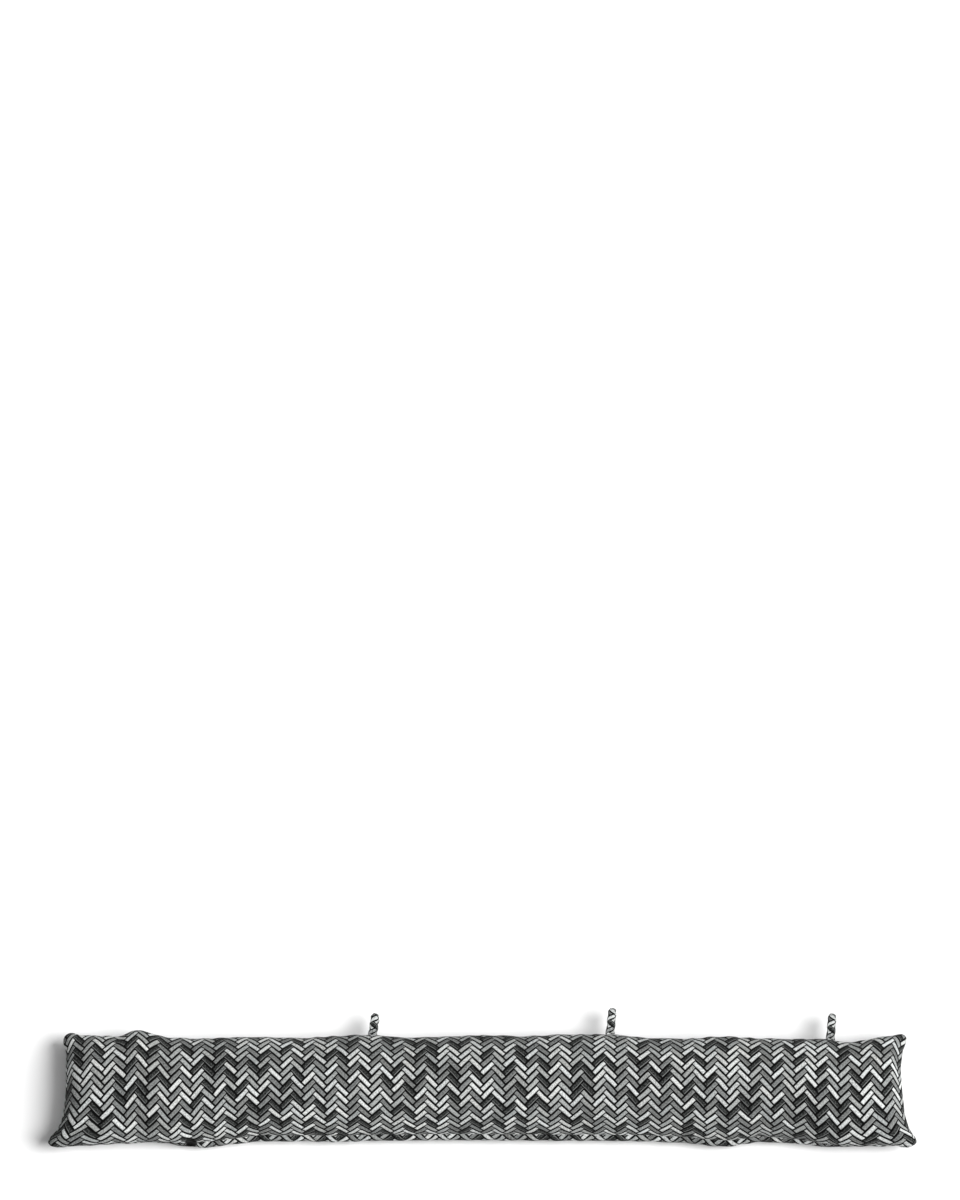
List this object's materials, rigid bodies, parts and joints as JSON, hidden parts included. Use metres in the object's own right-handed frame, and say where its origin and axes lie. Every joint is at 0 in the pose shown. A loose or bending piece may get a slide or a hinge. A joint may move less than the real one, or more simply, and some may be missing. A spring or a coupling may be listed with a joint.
{
  "type": "draught excluder",
  "caption": "Long stuffed cushion of herringbone cloth that blocks the gap under a door, with short hanging loops along one long seam.",
  "frame": {"origin": "centre of the flat strip underneath, on which the cushion lies", "axes": "+X along the length, +Y across the face toward the edge with the hanging loops, +Z out of the face, away from the surface"},
  "size_m": [0.9009, 0.147, 0.0701],
  "materials": {
    "cover_cloth": "thick woven herringbone of short white, grey and charcoal bars outlined in black, matt, slightly nubbly",
    "loop_cloth": "the same cloth rolled into a narrow strap, its bars crossing it on the slant"
  },
  "bodies": {
    "root": {"cushion_body": "cover_cloth", "loop_left": "loop_cloth", "loop_middle": "loop_cloth", "loop_right": "loop_cloth"}
  },
  "joints": []
}
